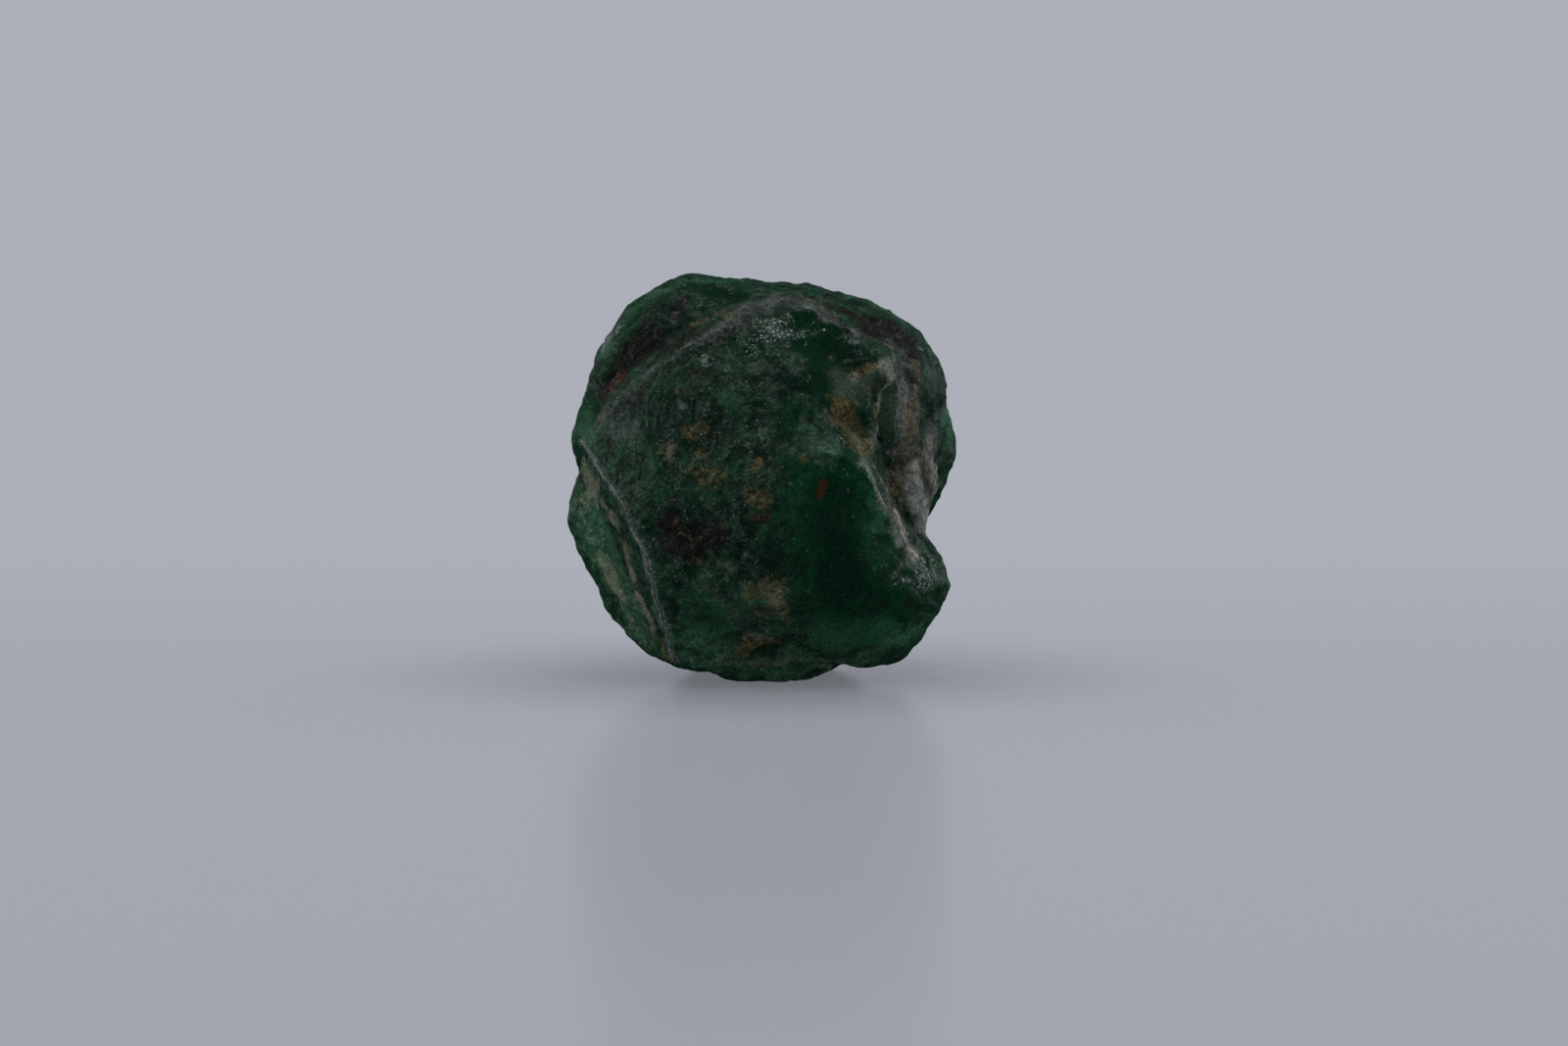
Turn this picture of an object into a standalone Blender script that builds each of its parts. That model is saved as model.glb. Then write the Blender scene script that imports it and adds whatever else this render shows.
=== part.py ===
"""A rough emerald: one broken green crystal, about 20 mm across, that stands on a small flat fracture.

Sizes in the constants are millimetres, and the model is in metres, with +Z up. The stone's front is -Y and its
right is +X. Its corners are joined into a cage, and the cage is then facetted, pitted and roughened as a whole.
"""

import bmesh
import bpy
import numpy as np
from mathutils import Vector, noise

MM = 0.001
NODE = "emerald"
HEART = Vector((0.0, 0.0, 10.0))  # each corner is seen from here with nothing in the way

# Corners (x, y, z), one list for each edge, hollow or face of the stone.
RIM = [  # the outline, clockwise from the front, from the upper left peak
    (-4.9, 1.0, 20.7), (-3.4, 0.5, 20.85), (-2.2, 0.5, 20.6), (0.6, 0.8, 20.25), (3.7, 0.8, 20.05),
    (5.3, 1.0, 19.6), (7.5, 0.8, 18.55), (8.45, 0.5, 17.9), (9.3, 0.6, 15.9), (9.65, 1.2, 14.5),
    (10.0, 2.2, 12.15), (9.95, 2.5, 11.15), (9.4, 2.2, 9.55), (8.4, 0.8, 8.45), (8.3, -0.8, 7.4),
    (9.3, -2.8, 6.7), (9.7, -3.6, 5.05), (8.7, -3.8, 3.05), (8.0, -3.6, 2.1), (6.9, -3.0, 1.15),
    (5.4, -2.8, 0.95), (3.9, -3.2, 0.95), (2.5, -3.0, 0.45), (-1.9, -3.6, 0.4), (-3.2, -4.0, 0.65),
    (-4.6, -4.6, 1.1), (-6.0, -2.8, 1.5), (-6.9, -1.8, 2.3), (-7.8, -1.2, 3.3), (-8.6, -0.8, 4.6),
    (-9.2, -0.6, 5.9), (-9.8, -0.6, 7.15), (-10.05, -0.8, 8.3), (-9.85, -1.2, 9.1), (-9.35, -1.6, 10.15),
    (-9.4, -2.0, 11.2), (-9.85, -2.6, 12.5), (-9.75, -2.2, 13.2), (-9.2, -1.4, 14.45), (-8.9, -0.8, 15.6),
    (-8.5, -0.6, 16.9), (-8.1, -0.4, 17.65), (-6.8, 0.2, 19.3), (-5.8, 0.6, 20.15),
]
BROW = [  # the long crest over the front face, left to right
    (-9.1, -3.2, 13.1), (-7.8, -4.4, 14.4), (-6.4, -5.2, 15.85), (-4.9, -5.6, 17.1), (-3.4, -5.4, 18.1),
    (-2.0, -5.0, 18.85), (-0.8, -4.2, 19.45), (0.5, -3.4, 20.0), (1.8, -3.2, 20.05), (3.0, -3.4, 19.7),
    (4.4, -3.6, 19.1), (6.0, -3.4, 18.2), (7.3, -2.6, 17.55),
]
TOP_HOLLOW = [  # behind the brow, left to right
    (-8.0, -2.2, 15.5), (-6.7, -3.0, 16.7), (-4.8, -3.2, 18.25), (-2.8, -2.6, 19.3), (-0.8, -1.8, 19.85),
    (3.4, -1.6, 19.6), (5.4, -1.7, 18.75), (7.2, -1.0, 18.0),
]
SHOULDER = [(-7.2, -2.2, 17.6), (-5.6, -2.0, 19.3), (-4.0, -1.6, 20.2)]
LEFT_EDGE = [  # the straight sharp edge down the front's left, top to bottom
    (-9.3, -3.3, 12.0), (-8.5, -4.6, 11.1), (-7.5, -5.8, 9.7), (-6.6, -6.6, 8.4), (-5.95, -6.9, 6.7),
    (-5.4, -6.6, 4.6), (-4.9, -5.8, 2.7),
]
LEFT_FACE = [(-8.2, -2.9, 7.4), (-7.0, -3.6, 4.4), (-5.9, -3.9, 2.6)]
FRONT = [  # the broad front face, top to bottom
    (0.6, -5.2, 18.4), (-3.6, -6.9, 15.4), (0.2, -7.0, 15.8), (-6.0, -6.1, 13.6), (-0.3, -8.0, 13.2),
    (-3.0, -7.7, 11.9), (0.3, -8.6, 10.8), (-5.4, -7.3, 10.0), (-2.6, -8.2, 9.2), (0.9, -8.4, 8.0),
    (-2.5, -7.6, 5.8), (0.5, -7.8, 4.5), (-2.0, -6.7, 3.4), (-1.2, -5.2, 1.4), (1.2, -5.2, 1.5),
]
RIGHT_CHEEK = [(2.5, -6.6, 16.2), (4.8, -5.8, 15.3), (6.2, -5.4, 16.4), (2.6, -7.4, 13.3), (4.6, -6.2, 13.6)]
LEDGE = [(6.0, -5.7, 14.6), (5.6, -5.9, 12.7)]
RIGHT_SIDE = [
    (8.5, -2.4, 16.0), (7.5, -4.3, 13.6), (8.9, -1.6, 13.8), (7.9, -3.6, 11.0), (9.2, -0.4, 11.3),
]
CHANNEL = [(6.6, -4.7, 10.3), (7.5, -3.8, 8.9), (8.2, -2.5, 7.75)]
LOBE_EDGE = [  # the sharp upper edge of the lower right lobe, left to right
    (2.6, -7.8, 12.3), (3.9, -8.0, 12.1), (5.4, -7.7, 10.9), (6.3, -7.0, 9.3), (7.0, -6.2, 7.65),
    (7.6, -5.4, 6.6), (8.6, -4.2, 6.4),
]
LOBE = [
    (4.3, -8.6, 8.4), (5.8, -7.6, 5.7), (7.9, -5.6, 4.9), (3.0, -8.4, 5.4), (4.6, -7.0, 3.2),
    (6.4, -5.6, 2.4), (2.6, -5.4, 1.7),
]
FOOT = [  # round the flat that it stands on, which the base cut makes level
    (1.2, -3.2, -0.2), (-0.7, -3.4, -0.2), (-3.0, 3.0, -0.2), (0.5, 3.8, -0.2), (3.5, 2.4, -0.2),
]
BELLY = [(-5.0, 0.8, 1.8), (-4.4, 4.4, 1.3), (0.4, 6.0, 1.3), (4.8, 4.6, 1.4), (5.6, 0.8, 1.5)]
BACK = [  # behind, bottom to top
    (-5.8, 4.8, 3.4), (-1.5, 7.0, 3.0), (3.4, 6.8, 3.0), (7.0, 3.6, 3.8), (8.2, 0.2, 4.6), (-8.8, 2.6, 7.0),
    (-6.0, 6.2, 6.6), (-1.0, 8.2, 7.0), (4.0, 7.8, 6.4), (7.6, 4.4, 7.2), (8.4, 1.8, 7.8), (-9.0, 1.8, 12.0),
    (-7.6, 5.4, 11.5), (-3.2, 8.4, 11.8), (1.8, 8.8, 11.0), (6.0, 7.4, 12.0), (9.3, 4.4, 12.2),
    (-7.8, 3.4, 16.0), (-4.0, 6.9, 16.0), (0.8, 7.6, 16.4), (5.4, 6.2, 16.0), (8.4, 3.4, 15.8),
    (-5.8, 3.2, 18.8), (-1.5, 5.2, 19.2), (3.0, 4.6, 19.0), (6.6, 3.0, 18.0), (-2.4, 2.6, 20.5), (1.8, 2.4, 20.3),
]
CORNERS = (
    RIM + BROW + TOP_HOLLOW + SHOULDER + LEFT_EDGE + LEFT_FACE + FRONT + RIGHT_CHEEK + LEDGE + RIGHT_SIDE
    + CHANNEL + LOBE_EDGE + LOBE + FOOT + BELLY + BACK
)

SHARP_EDGES = [BROW, LEFT_EDGE + [(-4.6, -4.6, 1.1)], LOBE_EDGE, [(6.2, -5.4, 16.4)] + LEDGE]

# Hollows (centre, half sizes, depth): the dark pit, and the stained hollow over the lobe.
HOLLOWS = [
    ((-3.75, -7.6, 8.0), (1.7, 1.6, 1.0), 0.45),
    ((4.4, -6.2, 13.4), (1.5, 1.6, 1.2), 0.35),
]

# Grooves (path, half width, depth): behind the brow on its left and its right, the channel beside the lobe, the slot
# under the pale bump, and the seam beside the right shoulder.
GROOVES = [
    ([(-8.7, -2.3, 14.3), (-7.4, -2.9, 16.1), (-5.6, -3.3, 17.9), (-3.6, -3.1, 19.1), (-1.6, -2.2, 19.9)], 1.4, 0.5),
    ([(2.2, -1.7, 20.0), (4.0, -1.9, 19.4), (6.0, -1.8, 18.5), (7.6, -1.3, 17.6)], 1.2, 0.5),
    ([(6.6, -4.9, 12.0), (7.2, -4.6, 10.2), (7.8, -3.8, 8.6), (8.3, -2.6, 7.7)], 0.9, 0.5),
    ([(6.4, -5.2, 15.5), (6.3, -5.3, 13.7), (6.6, -5.1, 12.1)], 0.6, 0.8),
    ([(7.7, -3.4, 17.0), (7.8, -3.6, 15.6), (8.4, -2.6, 14.5), (9.0, -1.6, 13.8)], 0.5, 0.35),
]

# Broad flats split off the back (outward direction, distance from the heart).
CLEAVES = [
    ((0.35, 0.93, 0.1), 8.1), ((-0.5, 0.84, -0.2), 7.7), ((0.1, 0.75, -0.65), 9.1), ((-0.35, 0.65, 0.67), 9.2),
    ((0.6, 0.6, 0.53), 9.3), ((-0.85, 0.5, 0.1), 8.4), ((0.75, 0.55, -0.37), 8.5),
]

SWELL = 0.1  # easing takes this much off the cage
HOLLOW_BEND = 0.9
HOLLOW_BEND_RATE = 0.7
VOXEL = 0.25
SHARP_REACH = 0.9  # nearer than this to a sharp edge, less is moved
TIGHTEST = 0.1
LOBE_MIDDLE = (4.6, -7.0, 6.4)
LOBE_SIZE = (3.6, 3.6, 4.6)
LOBE_ROUGHNESS = 0.35
LOBE_BORDER = (0.8, 1.2)  # in shares of its size, where its calm surface ends
EASING_ROUNDS = 30
EASING_STEPS = (0.6, -0.62)  # in, then a little more out, so that the stone keeps its size
SURFACE = 1300.0  # the stone's area in square millimetres
FACETS = ((150, 0.12), (700, 0.07))  # how many, and the most that each moves a point
FACET_TILT = 0.1
FACET_BEND = 0.25  # how far the flats' borders wander, as a share of their spacing
FACET_CRISPNESS = 14.0
GRAIN = ((0.4, 0.06), (1.5, 0.02))  # frequency per millimetre and height of each roughness
GRAIN_CHARACTER = (1.0, 2.0, 3)  # the fractal's increment, lacunarity and octaves
CUT_TOLERANCE = 1e-5
TRIANGLES = 8000
SEED = 11


def clear_scene():
    for thing in list(bpy.data.objects):
        bpy.data.objects.remove(thing)


def corner_cage():
    """A closed mesh through every corner. A hull round their directions from the heart says which are neighbours."""
    shape = bmesh.new()
    reach = {}
    for corner in CORNERS:
        arm = Vector(corner) - HEART
        reach[shape.verts.new(arm.normalized())] = arm.length + SWELL
    bmesh.ops.convex_hull(shape, input=shape.verts)
    for vert in shape.verts:
        vert.co = HEART + vert.co * reach[vert]
    mesh = bpy.data.meshes.new(NODE)
    shape.to_mesh(mesh)
    shape.free()
    return mesh


def with_modifier(mesh, kind, **settings):
    """A new mesh: this one after one modifier."""
    helper = bpy.data.objects.new("helper", mesh)
    bpy.context.scene.collection.objects.link(helper)
    modifier = helper.modifiers.new(kind, kind)
    for name, value in settings.items():
        setattr(modifier, name, value)
    graph = bpy.context.evaluated_depsgraph_get()
    made = bpy.data.meshes.new_from_object(helper.evaluated_get(graph))
    bpy.data.objects.remove(helper)
    return made


def points_of(mesh):
    points = np.empty(len(mesh.vertices) * 3)
    mesh.vertices.foreach_get("co", points)
    return points.reshape(-1, 3)


def normals_of(mesh):
    normals = np.empty(len(mesh.vertices) * 3)
    mesh.vertices.foreach_get("normal", normals)
    return normals.reshape(-1, 3)


def put_points(mesh, points):
    mesh.vertices.foreach_set("co", points.ravel())
    mesh.update()


def distance_to_path(points, path):
    nearest = np.full(len(points), np.inf)
    for start, end in zip(np.array(path[:-1]), np.array(path[1:])):
        along = end - start
        share = np.clip((points - start) @ along / (along @ along), 0, 1)
        nearest = np.minimum(nearest, np.linalg.norm(points - start - share[:, None] * along, axis=1))
    return nearest


def looseness(points):
    """How freely each point may move, as a share: hardly at all on a sharp edge."""
    distance = np.min([distance_to_path(points, path) for path in SHARP_EDGES], axis=0)
    return np.clip(distance / SHARP_REACH, TIGHTEST, 1)[:, None]


def calm(points):
    """1 over most of the stone, and lower on the glassy lobe."""
    distance = np.linalg.norm((points - LOBE_MIDDLE) / LOBE_SIZE, axis=1)
    outside = np.clip((distance - LOBE_BORDER[0]) / (LOBE_BORDER[1] - LOBE_BORDER[0]), 0, 1)
    return (LOBE_ROUGHNESS + (1 - LOBE_ROUGHNESS) * outside)[:, None]


def ease_flats(mesh):
    """Smooths the cage's arbitrary flats and keeps the sharp edges."""
    points = points_of(mesh)
    edges = np.empty(len(mesh.edges) * 2, int)
    mesh.edges.foreach_get("vertices", edges)
    edges = edges.reshape(-1, 2)
    ends = np.concatenate([edges, edges[:, ::-1]])
    count = np.bincount(ends[:, 0], minlength=len(points))[:, None]
    share = looseness(points)
    for step in EASING_STEPS * EASING_ROUNDS:
        around = np.stack([np.bincount(ends[:, 0], points[ends[:, 1], k], len(points)) for k in range(3)], axis=1)
        points += step * share * (around / count - points)
    put_points(mesh, points)


def cleave(mesh):
    """Moves whatever lies beyond each plane back onto it."""
    points = points_of(mesh)
    for direction, distance in CLEAVES:
        facing = np.array(direction) / np.linalg.norm(direction)
        over = (points - HEART) @ facing - distance
        points -= np.clip(over, 0, None)[:, None] * facing
    put_points(mesh, points)


def press_hollows(mesh):
    """Presses the hollows and grooves in towards the heart, with wandering rims."""
    points = points_of(mesh)
    inwards = np.array(HEART) - points
    inwards /= np.linalg.norm(inwards, axis=1)[:, None]
    bent = points + HOLLOW_BEND * np.array([noise.noise_vector(Vector(p) * HOLLOW_BEND_RATE) for p in points])
    press = np.zeros(len(points))
    for centre, half_sizes, depth in HOLLOWS:
        distance = np.linalg.norm((bent - centre) / half_sizes, axis=1)
        press += depth * np.clip(1 - distance**2, 0, 1)
    for path, half_width, depth in GROOVES:
        distance = distance_to_path(bent, path) / half_width
        press += depth * np.clip(1 - distance**2, 0, 1)
    put_points(mesh, points + inwards * press[:, None])


def facet(mesh, count, most):
    """Draws the surface towards small flats round random places, each point moving up to `most` millimetres."""
    random = np.random.default_rng(SEED + count)
    points, normals = points_of(mesh), normals_of(mesh)
    chosen = random.choice(len(points), count, replace=False)
    centres = points[chosen]
    facings = normals[chosen] + random.normal(0, FACET_TILT, (count, 3))
    facings /= np.linalg.norm(facings, axis=1)[:, None]
    spacing = np.sqrt(SURFACE / count)
    bend = np.array([noise.noise_vector(Vector(p) / spacing) for p in points])
    away = np.linalg.norm((points + bend * FACET_BEND * spacing)[:, None] - centres, axis=2)
    weight = np.exp((away.min(axis=1)[:, None] - away) * FACET_CRISPNESS / spacing)
    weight /= weight.sum(axis=1)[:, None]
    over = ((points[:, None] - centres) * facings).sum(axis=2)
    over = most * np.tanh(over / most)
    put_points(mesh, points - looseness(points) * calm(points) * ((weight * over) @ facings))


def roughen(mesh):
    points, normals = points_of(mesh), normals_of(mesh)
    for frequency, height in GRAIN:
        lift = np.array([noise.fractal(Vector(p) * frequency, *GRAIN_CHARACTER) for p in points])
        points += normals * calm(points) * (lift * height)[:, None]
    put_points(mesh, points)


def cut_foot(mesh):
    """Cuts the stone level at z = 0, which leaves the one flat that it stands on, and centres it over the origin."""
    shape = bmesh.new()
    shape.from_mesh(mesh)
    cut = bmesh.ops.bisect_plane(
        shape, geom=shape.verts[:] + shape.edges[:] + shape.faces[:], dist=CUT_TOLERANCE,
        plane_co=(0, 0, 0), plane_no=(0, 0, 1), clear_inner=True,
    )
    rim = [edge for edge in cut["geom_cut"] if isinstance(edge, bmesh.types.BMEdge)]
    bmesh.ops.edgeloop_fill(shape, edges=rim)
    bmesh.ops.recalc_face_normals(shape, faces=shape.faces)
    places = np.array([vert.co for vert in shape.verts])
    middle = (places.min(axis=0) + places.max(axis=0)) / 2
    bmesh.ops.translate(shape, verts=shape.verts, vec=(-middle[0], -middle[1], 0))
    bmesh.ops.scale(shape, verts=shape.verts, vec=(MM, MM, MM))
    shape.to_mesh(mesh)
    shape.free()


def emerald_green():
    material = bpy.data.materials.new(NODE)
    material.use_nodes = True
    surface = material.node_tree.nodes["Principled BSDF"]
    surface.inputs["Base Color"].default_value = (0.012, 0.075, 0.04, 1)
    surface.inputs["Roughness"].default_value = 0.4
    surface.inputs["Metallic"].default_value = 0.0
    return material


def main():
    clear_scene()
    noise.seed_set(SEED)
    mesh = with_modifier(corner_cage(), "REMESH", mode="VOXEL", voxel_size=VOXEL)
    ease_flats(mesh)
    cleave(mesh)
    press_hollows(mesh)
    for count, most in FACETS:
        facet(mesh, count, most)
    roughen(mesh)
    share = TRIANGLES / (2 * len(mesh.polygons))
    mesh = with_modifier(mesh, "DECIMATE", ratio=share, use_collapse_triangulate=True)
    cut_foot(mesh)
    mesh.name = NODE
    mesh.materials.append(emerald_green())
    stone = bpy.data.objects.new(NODE, mesh)
    bpy.context.scene.collection.objects.link(stone)


main()
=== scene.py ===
"""The looks of a raw emerald: a rough green stone with a glassy lobe, mica, rusty stains and a dark pit.

A fine skin is taken from the solid. Marks are painted on it along short paths, and small flats and grain
break it up. Its one material turns the marks into stains, mica, frost and clear green. Sizes in the
constants are millimetres where nothing else is said, and the model is in metres.
"""

import math

import bmesh
import bpy
import numpy as np
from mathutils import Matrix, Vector, kdtree, noise
from mathutils.bvhtree import BVHTree


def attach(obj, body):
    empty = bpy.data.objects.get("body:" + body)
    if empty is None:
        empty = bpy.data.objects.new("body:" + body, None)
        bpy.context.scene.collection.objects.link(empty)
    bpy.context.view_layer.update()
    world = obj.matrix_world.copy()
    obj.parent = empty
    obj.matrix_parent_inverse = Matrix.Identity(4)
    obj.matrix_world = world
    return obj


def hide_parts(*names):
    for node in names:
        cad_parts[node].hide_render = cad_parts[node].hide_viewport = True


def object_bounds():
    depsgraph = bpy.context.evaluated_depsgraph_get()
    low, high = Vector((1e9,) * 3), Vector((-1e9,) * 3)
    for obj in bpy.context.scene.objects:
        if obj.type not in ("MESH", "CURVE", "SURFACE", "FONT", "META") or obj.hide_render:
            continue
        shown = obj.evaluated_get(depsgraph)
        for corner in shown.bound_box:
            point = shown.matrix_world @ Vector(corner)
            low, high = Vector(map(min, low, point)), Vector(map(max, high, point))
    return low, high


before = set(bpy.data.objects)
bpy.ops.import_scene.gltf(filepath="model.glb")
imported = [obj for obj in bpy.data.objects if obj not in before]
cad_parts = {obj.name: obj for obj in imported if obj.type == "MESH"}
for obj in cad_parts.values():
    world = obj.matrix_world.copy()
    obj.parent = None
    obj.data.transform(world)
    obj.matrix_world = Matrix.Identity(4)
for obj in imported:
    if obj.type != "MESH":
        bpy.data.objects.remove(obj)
cad_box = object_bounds()

MM = 0.001
NODE = "emerald"
STONE = "raw_stone"
SEED = 5

# ---------------------------------------------------------------- relief
MERGE_DISTANCE = 0.001
SKIN_VOXEL = 0.139
SOFTEN_ROUNDS = 10
SOFTEN_SHARE = 0.5
STONE_AREA = 1300  # square millimetres
CHIPS = ((1.4, 0.03), (0.8, 0.032), (0.45, 0.026))  # small flats: spacing, and the most each moves a point
CHIP_TILT = 0.28  # how far a flat's facing strays from the surface's own
CHIP_BEND = 0.3  # how far its border wanders, as a share of the spacing
CHIP_BEND_RATE = 1.3  # how often it does so in one spacing
CHIP_CRISPNESS = 14
CHIP_NEIGHBOURS = 3  # flats that share one point
GLASS_CALM = 0.85  # how much less the glassy parts are broken up
GRAIN = ((1.1, 0.02), (2.6, 0.008))  # frequency per millimetre and height
GRAIN_CHARACTER = (0.9, 2.0, 3)  # the fractal's increment, lacunarity and octaves
RELIEF_ROUNDS = 19  # rounds of smoothing that find the level ground
RELIEF_HEIGHT = 0.022  # this far over it a point is well raised

# Fine grooves, seen from the front: (path of (right, up), half width, depth). A minus depth is a ridge.
STROKES = {
    "hollow under the brow": ([(1.9, 17.9), (3.0, 17.1), (3.9, 16.3)], 1.3, 0.3),
    "slot": ([(6.5, 15.4), (6.5, 13.5), (6.2, 12.0)], 0.45, -0.12),
    "left rim of the slot":
        ([(6.8, 15.9), (6.1, 15.1), (5.9, 14.2), (5.9, 13.1), (5.4, 12.1)], 0.16, -0.12),
    "right rim of the slot": ([(7.0, 15.3), (7.0, 13.0), (6.7, 11.6)], 0.16, -0.12),
    "upper edge of the lobe":
        ([(2.6, 11.9), (3.9, 11.7), (5.4, 10.5), (6.3, 9.0), (7.0, 7.4), (7.6, 6.4)], 0.22, -0.12),
    "left edge": ([(-9.0, 12.1), (-7.5, 9.5), (-6.0, 6.4), (-4.5, 1.2)], 0.16, -0.08),
    "lower lip of the lobe": ([(3.7, 2.0), (5.2, 1.1), (7.0, 1.3), (8.6, 2.5)], 0.8, -0.3),
    "brow": ([(-8.9, 13.3), (-6.3, 15.3), (-3.9, 17.2), (-2.2, 18.1), (-0.9, 19.3)], 0.25, -0.14),
    "bump over the slot": ([(6.5, 16.5)], 0.45, -0.2),
}
STROKE_BEND = 0.3  # share of a mark's bend

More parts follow.
